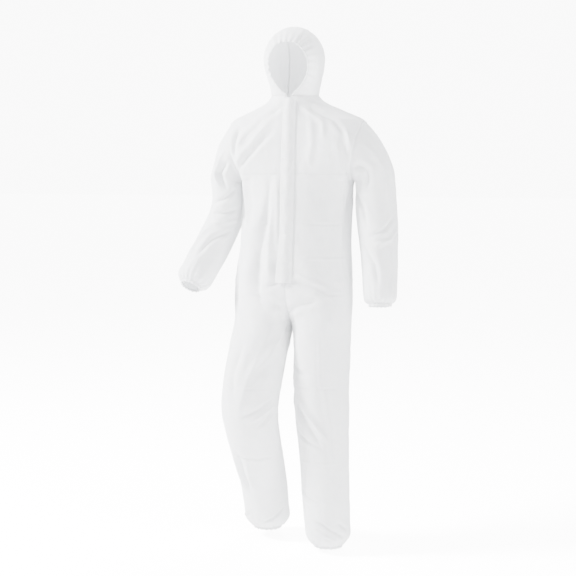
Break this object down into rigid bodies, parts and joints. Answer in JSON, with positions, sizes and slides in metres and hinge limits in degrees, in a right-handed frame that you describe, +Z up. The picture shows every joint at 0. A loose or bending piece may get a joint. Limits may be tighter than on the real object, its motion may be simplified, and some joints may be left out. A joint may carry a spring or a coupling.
{
  "type": "chemical protective suit",
  "caption": "Hooded one-piece protective coverall with a zip under a storm flap, sleeves, legs and elasticated face, wrists, waist and ankles.",
  "frame": {"origin": "on the body's midline, level with the neck seam and above the middle of the trunk, where the suit hangs from the wearer's shoulders", "axes": "-Y is the front of the suit, +X the wearer's left, +Z up"},
  "size_m": [0.7541, 0.3522, 1.775],
  "materials": {
    "suit_fabric": "soft matt nonwoven",
    "elastic": "matt",
    "zip_tape": "woven",
    "zip_coil": "satin",
    "slider": "satin white paint",
    "adhesive": "tacky, slightly yellow",
    "liner": "siliconed paper",
    "label": "woven, blank"
  },
  "bodies": {
    "suit": {"front_yoke_left": "suit_fabric", "front_yoke_right": "suit_fabric", "front_panel_left": "suit_fabric", "front_panel_right": "suit_fabric", "back_panel_left": "suit_fabric", "back_panel_right": "suit_fabric", "crotch_gusset": "suit_fabric", "waist_elastic": "elastic", "neck_label": "label", "ankle_hem_left": "suit_fabric", "ankle_hem_right": "suit_fabric", "ankle_elastic_left": "elastic", "ankle_elastic_right": "elastic", "zip_tape_left": "zip_tape", "zip_tape_right": "zip_tape", "zip_coil_left": "zip_coil", "zip_coil_right": "zip_coil", "zip_top_stops": "zip_coil", "zip_bottom_stop": "zip_coil", "zip_guard": "suit_fabric"},
    "hood": {"hood_centre_panel": "suit_fabric", "hood_left_panel": "suit_fabric", "hood_right_panel": "suit_fabric", "face_hem": "suit_fabric", "face_elastic": "elastic"},
    "left_arm": {"sleeve_left": "suit_fabric", "wrist_hem_left": "suit_fabric", "wrist_elastic_left": "elastic"},
    "right_arm": {"sleeve_right": "suit_fabric", "wrist_hem_right": "suit_fabric", "wrist_elastic_right": "elastic"},
    "slider": {"zip_slider": "slider"},
    "puller": {"zip_puller": "slider"},
    "flap": {"storm_flap": "suit_fabric", "flap_adhesive": "adhesive", "release_liner": "liner"}
  },
  "joints": [
    {"name": "zip_slide", "type": "slide", "parent": "suit", "child": "slider", "axis": [0, -0.0857, -0.9963], "range_m": [0, 0.575]},
    {"name": "puller_swing", "type": "hinge", "parent": "slider", "child": "puller", "pos_m": [0, -0.09884, -0.01902], "axis": [-1, 0, 0], "range_deg": [0, 9]},
    {"name": "flap_open", "type": "hinge", "parent": "suit", "child": "flap", "pos_m": [0.024, -0.09821, -0.00783], "axis": [0, 0.0857, 0.9963], "range_deg": [0, 160]},
    {"name": "hood_fold", "type": "hinge", "parent": "suit", "child": "hood", "pos_m": [0, 0.05, 0.0004], "axis": [-1, 0, 0], "range_deg": [0, 80]},
    {"name": "shoulder_left", "type": "hinge", "parent": "suit", "child": "left_arm", "pos_m": [0.2135, 0.02, -0.182], "axis": [-0.9833, 0, 0.1822], "range_deg": [-35, 90]},
    {"name": "shoulder_right", "type": "hinge", "parent": "suit", "child": "right_arm", "pos_m": [-0.2135, 0.02, -0.182], "axis": [-0.9833, 0, -0.1822], "range_deg": [-35, 90]}
  ]
}
